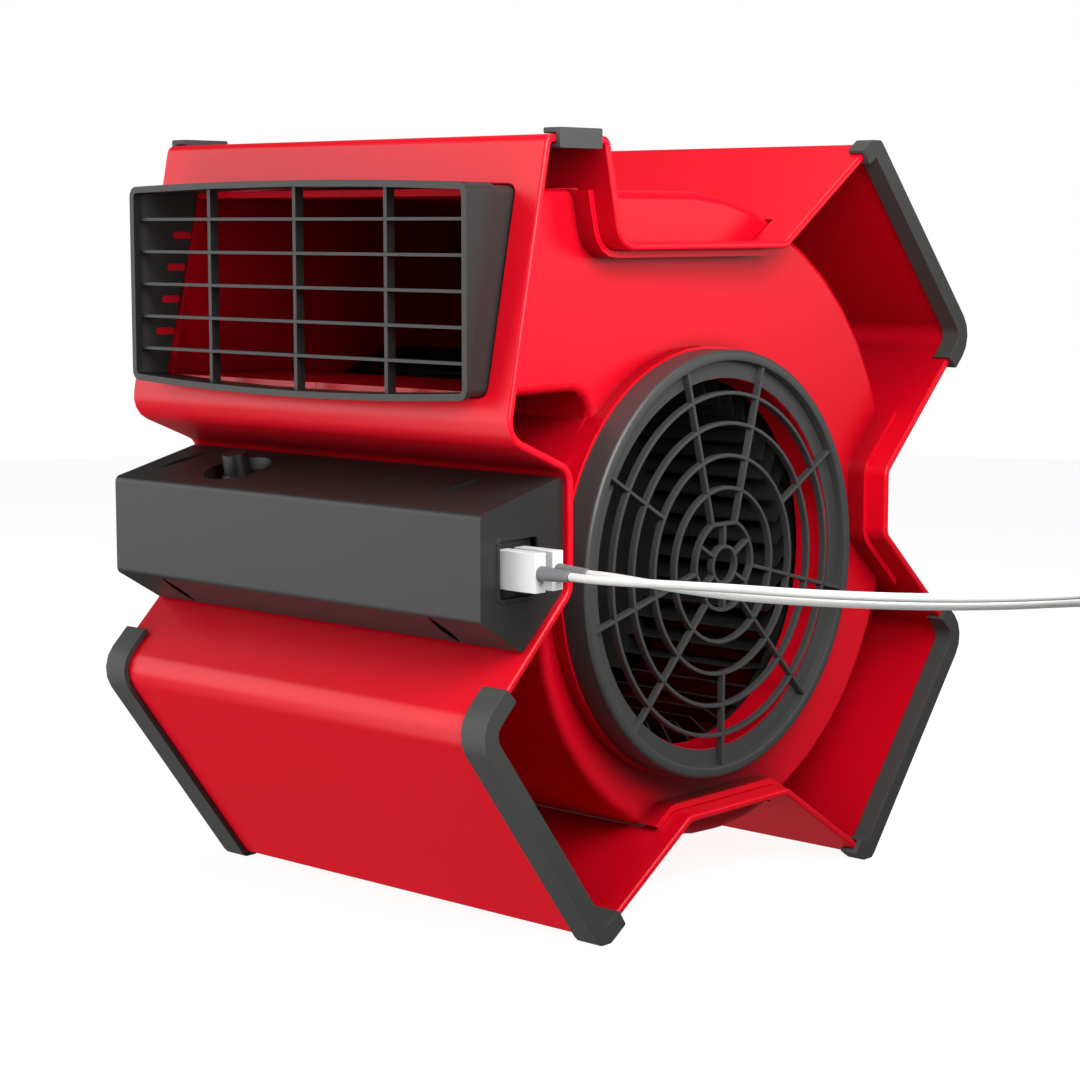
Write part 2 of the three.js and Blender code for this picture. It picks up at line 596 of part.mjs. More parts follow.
// The arm's end wall between two corners of the band, with a hook past each.
function endPath(first, last, hook) {
  const before = BAND_CORNERS[(first + BAND_CORNERS.length - 1) % BAND_CORNERS.length];
  const after = BAND_CORNERS[(last + 1) % BAND_CORNERS.length];
  const a = BAND_CORNERS[first];
  const b = BAND_CORNERS[last];
  const toward = (from, to, length) => {
    const d = Math.hypot(to[0] - from[0], to[1] - from[1]);
    return [from[0] + ((to[0] - from[0]) * length) / d, from[1] + ((to[1] - from[1]) * length) / d, 0];
  };
  return [toward(a, before, a[2] + hook), a, b, toward(b, after, b[2] + hook)];
}

const BUMPERS = {
  lower_front: { path: endPath(16, 0, BUMPER.longHook), depth: BUMPER.deep },
  lower_back: { path: endPath(3, 4, BUMPER.shortHook), depth: BUMPER.slim },
  upper_back: { path: endPath(7, 8, BUMPER.shortHook), depth: BUMPER.slim },
  upper_front: { path: [[-106.5, 347, 0], [-133, 347, 0]], depth: BUMPER.slim },
};
for (const [place, { path, depth }] of Object.entries(BUMPERS)) {
  const right = bumper(path, depth);
  add(`bumper_${place}_right`, right, RUBBER);
  add(`bumper_${place}_left`, right.mirror([1, 0, 0]), RUBBER);
}

// ---------------------------------------------------------------- control box

const BOX_TOP_BACK = [NOTCH.frontY - 2 * GAP, 206];
const BOX_TOP_FRONT = [BOX_FRONT, 193.6];
const BOX_BOTTOM_FRONT = [BOX_FRONT, 149.2];
const BOX_BOTTOM_BACK = [-149.9, 134.1];
const BOX_CORNERS = [
  [...BOX_TOP_FRONT, 3],
  [...BOX_BOTTOM_FRONT, 3],
  [...BOX_BOTTOM_BACK, 1],
  [NOTCH.frontY - GAP, 157.2, 6.5],
  [...BOX_TOP_BACK, 2],
];
const slopeOf = (a, b) => Math.atan2(b[1] - a[1], b[0] - a[0]);
const TOP_SLOPE = slopeOf(BOX_TOP_FRONT, BOX_TOP_BACK);
const LOWER_SLOPE = slopeOf(BOX_BOTTOM_FRONT, BOX_BOTTOM_BACK);

const KNOB = { x: -58.6, up: 25, dishR: 16, dishDepth: 5, r: 6.4, height: 12.5 };
const SWITCH_SHAFT_R = 2.5;
const FASTENER_XS = { top: [-101, 79], lower: [-88, 84] };
const GLAND = { y: -152, z: 170, boreR: 4.2, threadR: 7.9 };
const CAPACITOR = { y: -147, z: 167, r: 15, x: [30, 78], clipX: [48, 58] };

// A point on the box's top slope, at a distance up it from the front edge.
const slopePoint = (x, up) => (
  [x, BOX_FRONT + up * Math.cos(TOP_SLOPE), BOX_TOP_FRONT[1] + up * Math.sin(TOP_SLOPE)]);

function toSlope(piece, x, up) {
  return piece.rotate([THREE.MathUtils.radToDeg(TOP_SLOPE), 0, 0]).translate(slopePoint(x, up));
}

// A lens-shaped groove that hides a fastener, sunk by depth into the plane z = 0.
function lensGroove(depth) {
  const half = 14;
  const bulge = 2.3;
  const lens = Array.from({ length: 9 }, (_, i) => {
    const t = i / 4 - 1;
    return [bulge * (1 - t * t) + 0.2, half * t];
  });
  const outline = [...lens, ...lens.map(([x, y]) => [-x, y]).reverse()];
  const geometry = new THREE.ExtrudeGeometry(shapeOf(outline), { depth: 10, bevelEnabled: false });
  return solid(geometry).translate([0, 0, -depth]);
}

function controlBox() {
  const outer = prismX(roundedOutline(BOX_CORNERS), -BOX_HALF, BOX_HALF);
  const inner = offsetOutline(BOX_CORNERS, -BOX_WALL).map(([y, z]) => [y, z, 0]);
  const hollow = prismX(roundedOutline(inner), -BOX_HALF + BOX_WALL, BOX_HALF - BOX_WALL);
  const openBack = block(-BOX_HALF + 8, BOX_HALF - 8, NOTCH.frontY - 6, NOTCH.frontY + 5, 163, 200);
  const { x: knobX, up, dishR, dishDepth } = KNOB;
  let box = outer.subtract(hollow).subtract(openBack)
    .add(toSlope(rodZ(dishR + 2, dishR + 2, -dishDepth - 2, -1, 28), knobX, up))
    .subtract(toSlope(rodZ(dishR - 1.5, dishR, -dishDepth, 0.5, 28), knobX, up))
    .subtract(toSlope(rodZ(SWITCH_SHAFT_R + 0.9, SWITCH_SHAFT_R + 0.9, -12, 0, 12), knobX, up));
  for (const x of FASTENER_XS.top) {
    box = box.subtract(toSlope(lensGroove(1.5).rotate([0, 0, -12]), x, 29));
  }
  const lower = lensGroove(1.5).rotate([180, 0, 10]).rotate([THREE.MathUtils.radToDeg(LOWER_SLOPE), 0, 0]);
  for (const x of FASTENER_XS.lower) {
    box = box.subtract(lower.translate([x, -162.6, 141.6]));
  }
  return box.subtract(block(BOX_HALF - 5, BOX_HALF + 5, -165, -140, 156.5, 183))
    .subtract(rodX(GLAND.threadR + GAP, -BOX_HALF - 5, -BOX_HALF + 5, 20, GLAND.y, GLAND.z));
}

add("control_box", controlBox(), BLACK);

// A group whose Z axis stands on the box's top slope, under the knob.
const switchPlace = new THREE.Group();
switchPlace.position.set(...slopePoint(KNOB.x, KNOB.up));
switchPlace.rotation.x = TOP_SLOPE;
part.add(switchPlace);
const switchTop = -KNOB.dishDepth - 2 - GAP;
const switchBody = block(-11, 11, -11, 11, switchTop - 16, switchTop)
  .subtract(rodZ(SWITCH_SHAFT_R + 0.4, SWITCH_SHAFT_R + 0.4, switchTop - 9, 1, 12));
add("rotary_switch", switchBody, GREY, switchPlace);
const switchShaft = rodZ(SWITCH_SHAFT_R, SWITCH_SHAFT_R, switchTop - 8.5, 7 - KNOB.dishDepth, 12);
add("switch_shaft", switchShaft, STEEL, switchPlace);
const knobTop = KNOB.height - KNOB.dishDepth;
const knob = rodZ(KNOB.r + 1.6, KNOB.r + 1.2, 0.5 - KNOB.dishDepth, 2.6 - KNOB.dishDepth, 24)
  .add(rodZ(KNOB.r, KNOB.r - 0.5, 2 - KNOB.dishDepth, knobTop, 24))
  .subtract(rodZ(SWITCH_SHAFT_R + GAP, SWITCH_SHAFT_R + GAP, -KNOB.dishDepth - 1, 7.4 - KNOB.dishDepth, 12))
  .subtract(block(-0.6, 0.6, 1.5, 9, knobTop - 0.8, 20));
add("switch_knob", knob, BLACK, switchPlace);

add("wire_grommet", prismY(circle(GROMMET.x, GROMMET.z, GROMMET.r, 20), NOTCH.frontY - 2.5, NOTCH.frontY + 6)
  .subtract(prismY(circle(GROMMET.x, GROMMET.z, 5, 16), NOTCH.frontY - 5, NOTCH.frontY + 9)), RUBBER);
const terminals = block(-20, 20, -160, -148, 158, 170).subtract(block(-22, 22, -155.5, -152.5, 165, 172));
add("terminal_block", terminals, WHITE);
const gland = rodX(GLAND.threadR, -BOX_HALF - 4.5, -BOX_HALF + 9, 20, GLAND.y, GLAND.z)
  .add(rodX(11, -122.3, -117.3, 6, GLAND.y, GLAND.z))
  .subtract(rodX(GLAND.boreR, -130, -100, 16, GLAND.y, GLAND.z));
add("cord_gland", gland, BLACK);
const glandNut = rodX(11.5, -BOX_HALF + BOX_WALL + GAP, -BOX_HALF + BOX_WALL + 5, 6, GLAND.y, GLAND.z)
  .subtract(rodX(GLAND.threadR + GAP, -BOX_HALF, -BOX_HALF + 10, 20, GLAND.y, GLAND.z));
add("gland_nut", glandNut, BLACK);
add("run_capacitor", rodX(CAPACITOR.r, ...CAPACITOR.x, 24, CAPACITOR.y, CAPACITOR.z), GREY);
const clip = ringX(CAPACITOR.r + GAP, CAPACITOR.r + 2, ...CAPACITOR.clipX, 24, CAPACITOR.y, CAPACITOR.z)
  .add(block(...CAPACITOR.clipX, CAPACITOR.y + CAPACITOR.r + 1, NOTCH.frontY - GAP, 165, 169));
add("capacitor_clip", clip, STEEL);

// ---------------------------------------------------------------- USB power port, plugs and leads

const SOCKET = { w: 5.1, h: 12.6 };
const SHELL = { w: 4.5, h: 12, wall: 0.4 };
const PLUG = { w: 6.4, h: 16.4 };
const SOCKET_DEPTH = 12.6;
const RELIEF_LENGTH = 15.7;

// Routes of the two leads, in X, Y and Z, from the strain relief to the far connector.
const LEAD_ROUTES = [
  [[151.3, -158.9, 170], [164, -158.7, 170], [178, -157.8, 170.4], [192, -156.4, 170.9], [206, -154.6, 171.4],
    [220, -152.5, 171.8], [234, -149.7, 172], [247, -146.2, 172], [259, -142, 172], [270, -137.2, 172],
    [281, -131.6, 172], [291, -125.4, 172], [301, -117.8, 172], [310, -109.4, 172], [318, -100.4, 172],
    [325, -90.8, 172], [331.5, -80.4, 172], [337, -69.6, 172.3], [342, -58.2, 173.2], [346.4, -46.6, 174.3],
    [350.2, -34.6, 175.2], [353.4, -22.4, 175.8], [356, -10, 176]],
  [[151.3, -148.2, 170], [164, -148.4, 170], [178, -148.8, 169.6], [192, -148.8, 169.1], [206, -147.9, 168.6],
    [219, -146.2, 168.2], [231, -143.8, 168], [243, -140.6, 168], [254, -136.8, 168], [265, -132.2, 168],
    [275.4, -127, 168], [285.4, -120.9, 168], [295, -113.8, 168], [303.8, -105.9, 168], [311.6, -97.2, 168],
    [318.6, -87.8, 168], [325, -77.8, 168], [330.6, -67.4, 167.7], [335.6, -56.2, 166.8], [340, -44.6, 165.7],
    [343.8, -32.8, 164.8], [347, -20.8, 164.2], [349.6, -8.4, 164]],
];

function leadTube(route) {
  const points = route.map(([x, y, z]) => new THREE.Vector3(x, y, z));
  const curve = new THREE.CatmullRomCurve3(points, false, "centripetal");
  const section = new THREE.Shape(circle(0, 0, LEAD_D / 2, 8).map(([a, b]) => new THREE.Vector2(a, b)));
  return solid(new THREE.ExtrudeGeometry(section, { extrudePath: curve, steps: 34 }));
}

// The small connector on a lead's far end, pointing along its last stretch.
function farConnector(index, route) {
  const [before, end] = route.slice(-2);
  const place = new THREE.Group();
  place.position.set(...end);
  place.rotation.z = Math.atan2(end[1] - before[1], end[0] - before[0]);
  part.add(place);
  const relief = rodX(2.6, GAP, 10, 10, 0, 0).add(block(9, 30, -5.4, 5.4, -3.2, 3.2));
  add(`far_connector_${index}`, relief, WHITE, place);
  add(`far_contact_${index}`, block(30 + GAP, 37, -4.1, 4.1, -1.3, 1.3), STEEL, place);
}

// A box of a plug's section, w wide and h high round the socket's axis.
const sectionBlock = (x0, x1, y, { w, h }, extra = 0) => block(
  x0, x1, y - w / 2 - extra, y + w / 2 + extra, USB.z - h / 2 - extra, USB.z + h / 2 + extra);

let usbModule = block(92, USB.faceX, -164.6, -140.4, 157, 182.5);
for (const y of USB.ys) {
  usbModule = usbModule.subtract(sectionBlock(USB.faceX - SOCKET_DEPTH, USB.faceX + 1, y, SOCKET));
}
add("usb_module", usbModule, BLACK);
add("usb_board", block(88, 91.7, -168, -130, 156, 184), GREEN);

USB.ys.forEach((y, i) => {
  const { z, faceX, plugEndX } = USB;
  const index = i + 1;
  const bodyX = faceX + 0.6;
  const seatX = bodyX + 1.5;
  const shell = sectionBlock(faceX - 12, seatX, y, SHELL)
    .subtract(sectionBlock(faceX - 14, faceX - 1, y, SHELL, -SHELL.wall));
  add(`usb_shell_${index}`, shell, STEEL);
  const plug = sectionBlock(bodyX, plugEndX, y, PLUG)
    .subtract(sectionBlock(bodyX - 1, seatX + GAP, y, SHELL, GAP));
  add(`usb_plug_${index}`, plug, WHITE);
  const relief = rodZ(PLUG.w / 2, LEAD_D / 2 + 0.5, 0, RELIEF_LENGTH, 12)
    .rotate([0, 90, 0])
    .translate([plugEndX + GAP, y, z]);
  add(`usb_relief_${index}`, relief, GREY);
  add(`usb_lead_${index}`, leadTube(LEAD_ROUTES[i]), CABLE);
  farConnector(index, LEAD_ROUTES[i]);
});

export default part;
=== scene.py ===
"""Looks of the utility air mover: camera, leads, refined shells, grilles, materials and studio light."""
import json
import math

import bmesh
import bpy
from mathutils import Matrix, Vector


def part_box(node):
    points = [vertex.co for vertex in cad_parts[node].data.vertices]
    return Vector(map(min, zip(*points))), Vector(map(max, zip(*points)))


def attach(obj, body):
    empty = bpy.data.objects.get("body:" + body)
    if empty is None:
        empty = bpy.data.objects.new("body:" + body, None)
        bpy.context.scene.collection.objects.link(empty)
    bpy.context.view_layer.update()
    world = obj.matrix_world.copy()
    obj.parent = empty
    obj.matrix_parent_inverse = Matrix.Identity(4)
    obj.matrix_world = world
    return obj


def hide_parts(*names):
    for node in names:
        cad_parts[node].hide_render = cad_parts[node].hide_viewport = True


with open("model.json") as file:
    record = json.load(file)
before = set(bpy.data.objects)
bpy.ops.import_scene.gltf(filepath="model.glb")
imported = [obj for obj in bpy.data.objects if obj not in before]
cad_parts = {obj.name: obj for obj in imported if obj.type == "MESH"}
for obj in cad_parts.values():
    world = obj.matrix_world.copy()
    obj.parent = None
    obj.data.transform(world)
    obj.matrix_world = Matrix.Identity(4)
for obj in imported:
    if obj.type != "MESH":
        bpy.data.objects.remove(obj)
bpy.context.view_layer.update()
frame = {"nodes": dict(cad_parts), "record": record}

SCENE = bpy.context.scene
MM = 0.001
CENTRING_Y = 1.02                      # the part's own shift along Y, in mm

SLOT_OF = {entry["node"]: entry["material_slot"] for entry in frame["record"]["subparts"]}
BODY_OF = {node: body for body, nodes in frame["record"]["behaviour"]["bodies"].items() for node in nodes}


# ---------------------------------------------------------------- camera

CAMERA_PLACE = (0.8006, -0.8985, 0.3103)
CAMERA_DOWN = 7.25                     # degrees below level
CAMERA_TURN = 41.96                    # degrees round the vertical
LENS = 82.7                            # mm, on a sensor 36 mm wide


def make_camera():
    data = bpy.data.cameras.new("camera")
    data.lens = LENS
    data.sensor_width = 36
    camera = bpy.data.objects.new("camera", data)
    camera.location = CAMERA_PLACE
    camera.rotation_euler = (math.radians(90 - CAMERA_DOWN), 0, math.radians(CAMERA_TURN))
    SCENE.collection.objects.link(camera)
    SCENE.camera = camera


make_camera()


def link(name, data):
    piece = bpy.data.objects.new(name, data)
    SCENE.collection.objects.link(piece)
    return piece


# ---------------------------------------------------------------- materials

def moulded(name, color, roughness, grain=900.0, depth=0.02, shine=0.5, metallic=0.0,
            spread=0.06, mottle=0.08, painted_shade_reach=0.0):
    """A finish with a fine grain, uneven gloss and slightly uneven colour.

    grain is per metre and depth in mm. The last argument, in metres, is how far from the piece's own
    other walls the base colour is darkened: painted shade, from ambient occlusion fed into the colour.
    """
    material = bpy.data.materials.new(name)
    material.use_nodes = True
    nodes = material.node_tree.nodes
    wire = material.node_tree.links.new
    shader = nodes["Principled BSDF"]
    shader.inputs["Metallic"].default_value = metallic
    shader.inputs["Specular IOR Level"].default_value = shine
    place = nodes.new("ShaderNodeTexCoord")

    broad = nodes.new("ShaderNodeTexNoise")
    broad.inputs["Scale"].default_value = 9
    broad.inputs["Detail"].default_value = 3
    wire(place.outputs["Object"], broad.inputs["Vector"])
    tint = nodes.new("ShaderNodeMix")
    tint.data_type = "RGBA"
    tint.inputs["A"].default_value = (*[c * (1 - mottle) for c in color], 1)
    tint.inputs["B"].default_value = (*[min(1, c * (1 + mottle)) for c in color], 1)
    wire(broad.outputs["Fac"], tint.inputs["Factor"])
    # Painted shade: ambient occlusion darkens the base colour in the piece's own hollows and corners.
    if painted_shade_reach:
        corners = nodes.new("ShaderNodeAmbientOcclusion")
        corners.samples = 8
        corners.only_local = True
        corners.inputs["Distance"].default_value = painted_shade_reach
        wire(tint.outputs["Result"], corners.inputs["Color"])
        wire(corners.outputs["Color"], shader.inputs["Base Color"])
    else:
        wire(tint.outputs["Result"], shader.inputs["Base Color"])

    fine = nodes.new("ShaderNodeTexNoise")
    fine.inputs["Scale"].default_value = grain
    fine.inputs["Detail"].default_value = 2
    wire(place.outputs["Object"], fine.inputs["Vector"])
    gloss = nodes.new("ShaderNodeMapRange")
    gloss.inputs["To Min"].default_value = max(0.02, roughness - spread)
    gloss.inputs["To Max"].default_value = roughness + spread
    wire(fine.outputs["Fac"], gloss.inputs["Value"])
    wire(gloss.outputs["Result"], shader.inputs["Roughness"])
    bump = nodes.new("ShaderNodeBump")
    bump.inputs["Strength"].default_value = 0.5
    bump.inputs["Distance"].default_value = depth * MM
    wire(fine.outputs["Fac"], bump.inputs["Height"])
    wire(bump.outputs["Normal"], shader.inputs["Normal"])
    return material


LOOKS = {
    # The red carries painted shade: ambient occlusion darkens its base colour within 0.16 m of each
    # piece's own walls.
    "red": moulded("red_gloss", (0.66, 0.0008, 0.012), 0.34, grain=1200, depth=0.004, shine=0.27,
                   mottle=0.02, painted_shade_reach=0.16),
    "black": moulded("black_grained", (0.013, 0.013, 0.0125), 0.45, grain=2200, depth=0.04, shine=0.42),
    "guard": moulded("guard_black", (0.038, 0.038, 0.0375), 0.42, grain=1800, depth=0.02),
    "rubber": moulded("rubber", (0.038, 0.038, 0.037), 0.6, grain=1600, depth=0.04, shine=0.45),
    "steel": moulded("steel", (0.62, 0.63, 0.64), 0.3, grain=500, depth=0.01, metallic=1),
    "zinc": moulded("zinc", (0.36, 0.37, 0.38), 0.5, grain=700, depth=0.05, metallic=1),
    "white": moulded("white_plastic", (0.66, 0.66, 0.67), 0.32, grain=1500, depth=0.01, mottle=0.02),
    "grey": moulded("grey_plastic", (0.12, 0.125, 0.13), 0.5, grain=1500, depth=0.03),
    "cable": moulded("lead_sheath", (0.5, 0.5, 0.49), 0.38, grain=1600, depth=0.02, mottle=0.03),
    "board": moulded("board", (0.01, 0.09, 0.03), 0.35, grain=600, depth=0.03),
}
GUARDS = ("inlet_grille", "motor_grille")


def look_of(node):
    return LOOKS["guard" if node in GUARDS else SLOT_OF[node]]


# ---------------------------------------------------------------- refined copies of CAD nodes

SAME_PLACE = 1e-5                      # metres
SHARP = math.radians(52)               # an edge between faces that turn more than this stays sharp
FLAT = math.radians(0.6)               # faces that turn less than this are one flat face
THIN_SHARP = math.radians(40)          # the same as SHARP, for thin bars and small details


def finish(piece, node, bevel, sharp=SHARP):
    """Rounds the piece's edges, shades its curved faces smooth, and lets it stand for the node."""
    piece.data.materials.append(look_of(node))
    piece.data.shade_smooth()
    piece.data.set_sharp_from_angle(angle=sharp)
    if bevel:
        rounding = piece.modifiers.new("rounding", "BEVEL")
        rounding.width = bevel * MM
        rounding.segments = 2
        rounding.limit_method = "ANGLE"
        rounding.angle_limit = sharp
        rounding.use_clamp_overlap = True
    weighted = piece.modifiers.new("normals", "WEIGHTED_NORMAL")
    weighted.keep_sharp = True
    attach(piece, BODY_OF[node])
    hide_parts(node)
    return piece


def lies_at(edge, end):
    """Whether the edge lies in the plane at x = end."""
    return all(abs(vert.co.x - end) < SAME_PLACE for vert in edge.verts)


def round_ends(shape, width):
    """Rounds the sharp edges that lie in the two planes where the shape ends along X."""
    xs = [vert.co.x for vert in shape.verts]
    ends = (min(xs), max(xs))
    edges = [edge for edge in shape.edges
             if any(lies_at(edge, end) for end in ends)
             and edge.is_manifold and edge.calc_face_angle() > SHARP]
    bmesh.ops.bevel(shape, geom=edges, offset=width * MM, segments=3, profile=0.5, affect="EDGES")


def refined(node, bevel, ends=0):
    """A copy of a CAD node with its flat faces whole again and its edges rounded."""
    shape = bmesh.new()
    shape.from_mesh(frame["nodes"][node].data)
    bmesh.ops.remove_doubles(shape, verts=shape.verts, dist=SAME_PLACE / 5)
    bmesh.ops.dissolve_limit(shape, angle_limit=FLAT, verts=shape.verts, edges=shape.edges)
    if ends:
        round_ends(shape, ends)
    mesh = bpy.data.meshes.new(f"{node}_shell")
    shape.to_mesh(mesh)
    shape.free()
    return finish(link(f"{node}_shell", mesh), node, bevel)


SMALL_EDGE = 0.3                       # edge radius in mm, unless ROUNDING has another
ROUNDING = {
    "x_band": 0.9,
    "volute_right": 0.5,
    "volute_left": 0.5,
    "outlet_grille": 0.6,
    "motor_grille": 0.4,
    "control_box": 1.4,
    "switch_knob": 0.4,
    "blower_wheel": 0.25,
    "bumper": 0.7,
}
END_ROUNDING = {"x_band": 1.3}         # the edges in the two planes where the node ends along X


# ---------------------------------------------------------------- leads

LEAD_D = 3.5
ON_LEAD = ("usb_shell", "usb_plug", "usb_relief", "far_connector", "far_contact")
LEAD_ROUTES = [                        # points in mm, before the part's own shift along Y
    [
        (151.3, -158.9, 170), (164, -158.7, 170), (178, -157.8, 170.4), (192, -156.4, 170.9),
        (206, -154.6, 171.4), (220, -152.5, 171.8), (234, -149.7, 172), (247, -146.2, 172),
        (259, -142, 172), (270, -137.2, 172), (281, -131.6, 172), (291, -125.4, 172),
        (301, -117.8, 172), (310, -109.4, 172), (318, -100.4, 172), (325, -90.8, 172),
        (331.5, -80.4, 172), (337, -69.6, 172.3), (342, -58.2, 173.2), (346.4, -46.6, 174.3),
        (350.2, -34.6, 175.2), (353.4, -22.4, 175.8), (356, -10, 176),
    ],
    [
        (151.3, -148.2, 170), (164, -148.4, 170), (178, -148.8, 169.6), (192, -148.8, 169.1),
        (206, -147.9, 168.6), (219, -146.2, 168.2), (231, -143.8, 168), (243, -140.6, 168),
        (254, -136.8, 168), (265, -132.2, 168), (275.4, -127, 168), (285.4, -120.9, 168),
        (295, -113.8, 168), (303.8, -105.9, 168), (311.6, -97.2, 168), (318.6, -87.8, 168),
        (325, -77.8, 168), (330.6, -67.4, 167.7), (335.6, -56.2, 166.8), (340, -44.6, 165.7),
        (343.8, -32.8, 164.8), (347, -20.8, 164.2), (349.6, -8.4, 164),
    ],
]


def make_lead(index, route):
    points = [Vector((x, y + CENTRING_Y, z)) * MM for x, y, z in route]
    curve = bpy.data.curves.new(f"lead_{index}", "CURVE")
    curve.dimensions = "3D"
    curve.bevel_depth = 1              # times each knot's radius
    curve.bevel_resolution = 5
    curve.resolution_u = 6
    curve.use_fill_caps = True
    spline = curve.splines.new("BEZIER")
    spline.bezier_points.add(len(points) - 1)
    for knot, place in zip(spline.bezier_points, points):
        knot.co = place
        knot.radius = LEAD_D / 2 * MM
        knot.handle_left_type = "AUTO"
        knot.handle_right_type = "AUTO"
    piece = link(f"lead_{index}_sheath", curve)
    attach(piece, f"usb_cable_{index}")
    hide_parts(f"usb_lead_{index}")
    piece.data.materials.append(LOOKS["cable"])
    on_it = [refined(f"{name}_{index}", SMALL_EDGE) for name in ON_LEAD]


for index, route in enumerate(LEAD_ROUTES, start=1):
    make_lead(index, route)


# ---------------------------------------------------------------- the other shells

MADE_APART = ("usb_lead", "inlet_grille", *ON_LEAD)

for node in SLOT_OF:
    if not node.startswith(MADE_APART):
        family = "bumper" if node.startswith("bumper") else node
        refined(node, ROUNDING.get(family, SMALL_EDGE), ends=END_ROUNDING.get(family, 0))


# ---------------------------------------------------------------- inlet grille

def skin(shape, rows, closed):
    """Faces between rows of points that go round a section; closed joins the last row to the first."""
    count = len(rows[0])
    pairs = zip(rows, rows[1:] + rows[:1]) if closed else zip(rows, rows[1:])
    for row, after in pairs:
        for k in range(count):
            shape.faces.new((row[k], row[(k + 1) % count], after[(k + 1) % count], after[k]))
    if not closed:
        shape.faces.new(rows[0][::-1])
        shape.faces.new(rows[-1])


def mesh_of(name, shape):
    """Turns the finished shape into a piece."""
    bmesh.ops.recalc_face_normals(shape, faces=shape.faces)
    mesh = bpy.data.meshes.new(name)
    shape.to_mesh(mesh)
    shape.free()
    return link(name, mesh)


class RoundGuard:
    """A guard on the +X side: a thick ring and thin bars, as one mesh, in mm round the wheel's axis."""

    RING_STEPS = 144

    def __init__(self, node):
        low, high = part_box(node)
        self.node = node
        self.centre = (low + high) / 2 / MM
        self.ring_r = (high.y - low.y) / 2 / MM
        self.back_x = low.x / MM
        self.front_x = high.x / MM
        self.bar_front = self.front_x - 1
        self.shape = bmesh.new()

    def polar(self, radius, degrees, x):
        angle = math.radians(degrees)
        y = self.centre.y + radius * math.cos(angle)
        return Vector((x, y, self.centre.z + radius * math.sin(angle))) * MM

    def turned(self, profile, steps=RING_STEPS):
        """Turns a closed profile of (radius, x) round the axis."""
        rows = []
        for i in range(steps):
            rows.append([self.shape.verts.new(self.polar(r, 360 * i / steps, x)) for r, x in profile])
        skin(self.shape, rows, closed=True)

    def section(self, width, depth, edge=0.45):
        """A bar's rounded section, as (across, x) points."""
        w, x0, x1 = width / 2, self.bar_front - depth, self.bar_front
        return [(-w, x0), (w, x0), (w, x1 - edge), (w - 0.4 * edge, x1 - 0.15 * edge), (w - edge, x1),
                (edge - w, x1), (0.4 * edge - w, x1 - 0.15 * edge), (-w, x1 - edge)]

    def ring(self, radius, width, depth):
        self.turned([(radius + across, x) for across, x in self.section(width, depth)])

    def bar(self, start, end, width, depth):
        """A straight bar between two (radius, degrees) points."""
        a = self.polar(*start, 0)
        b = self.polar(*end, 0)
        side = Vector((1, 0, 0)).cross(b - a).normalized() * MM
        rows = []
        for place in (a, b):
            rows.append([self.shape.verts.new(place + side * across + Vector((x * MM, 0, 0)))
                         for across, x in self.section(width, depth)])
        skin(self.shape, rows, closed=False)

    def piece(self):
        return finish(mesh_of(f"{self.node}_fine", self.shape), self.node, 0, sharp=THIN_SHARP)


# Shares of the inlet guard's outer radius.
OPEN_SHARE = 0.948                     # the ring's inside
SEAT_SHARE = 0.9                       # where its back starts
LIP_SHARE = 0.869                      # the inside of the flange behind the bars
CIRCLE_SHARES = (0.8, 0.66, 0.51, 0.36)
INNER_SHARE = 0.21                     # the corners of the frame round the hub
HUB_R = 8.4
BAR_WIDTH = 1.75
BAR_DEPTH = 3.2
INNER_HALF = 24                        # half the angle that each flat of the inner frame spans
SPOKE_HALF = 17.3                      # half the angle between the two spokes from a flat, at the ring


def make_guard_third(guard, base, open_r):
    """The straight bars of one third of the guard, round the direction base in degrees."""
    inner = INNER_SHARE * guard.ring_r
    middle = CIRCLE_SHARES[2] * guard.ring_r
    arc = [(inner, base + INNER_HALF + step * (120 - 2 * INNER_HALF) / 12) for step in range(13)]
    bars = list(zip(arc, arc[1:]))
    bars.append(((inner, base - INNER_HALF), (inner, base + INNER_HALF)))
    for side in (-1, 1):
        bars.append(((inner, base + side * INNER_HALF), (open_r + 0.7, base + side * SPOKE_HALF)))
    bars.append(((HUB_R, base), (inner * math.cos(math.radians(INNER_HALF)), base)))
    bars.append(((HUB_R, base + 60), (inner, base + 60)))
    bars.append(((middle, base + 60), (open_r + 1, base + 60)))
    for start, end in bars:
        guard.bar(start, end, BAR_WIDTH, BAR_DEPTH)


def make_inlet_grille():
    guard = RoundGuard("inlet_grille")
    ring_r, back, front = guard.ring_r, guard.back_x, guard.front_x
    open_r = ring_r * OPEN_SHARE
    seat_r = ring_r * SEAT_SHARE
    lip_r = ring_r * LIP_SHARE
    guard.turned([(seat_r, back), (ring_r, back), (ring_r, front - 1.8), (ring_r - 0.25, front - 1.0),
                  (ring_r - 0.8, front - 0.35), (ring_r - 1.8, front), (open_r + 1.0, front),
                  (open_r + 0.3, front - 0.25), (open_r, front - 1), (open_r - 0.3, front - 4.4),
                  (lip_r, front - 4.6), (lip_r, front - 5.1), (seat_r, front - 5.1)])
    for radius in (*[share * ring_r for share in CIRCLE_SHARES], HUB_R):
        guard.ring(radius, BAR_WIDTH, BAR_DEPTH)
    for base in (90, 210, 330):
        make_guard_third(guard, base, open_r)
    return guard.piece()


make_inlet_grille()


# ---------------------------------------------------------------- small details

def fitted(piece, slot):
    """A detail of the housing that has no CAD node of its own."""
    piece.data.materials.append(LOOKS[slot])
    piece.data.shade_smooth()
    piece.data.set_sharp_from_angle(angle=THIN_SHARP)
    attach(piece, "housing")


def rounded_rectangle(half_w, half_h, radius, steps=6):
    """Points anticlockwise round a rectangle with round corners."""
    points = []
    for quarter, (sx, sy) in enumerate([(1, 1), (-1, 1), (-1, -1), (1, -1)]):
        for i in range(steps + 1):
            angle = math.radians(90 * (quarter + i / steps))
            points.append((sx * (half_w - radius) + radius * math.cos(angle),
                           sy * (half_h - radius) + radius * math.sin(angle)))
    return points


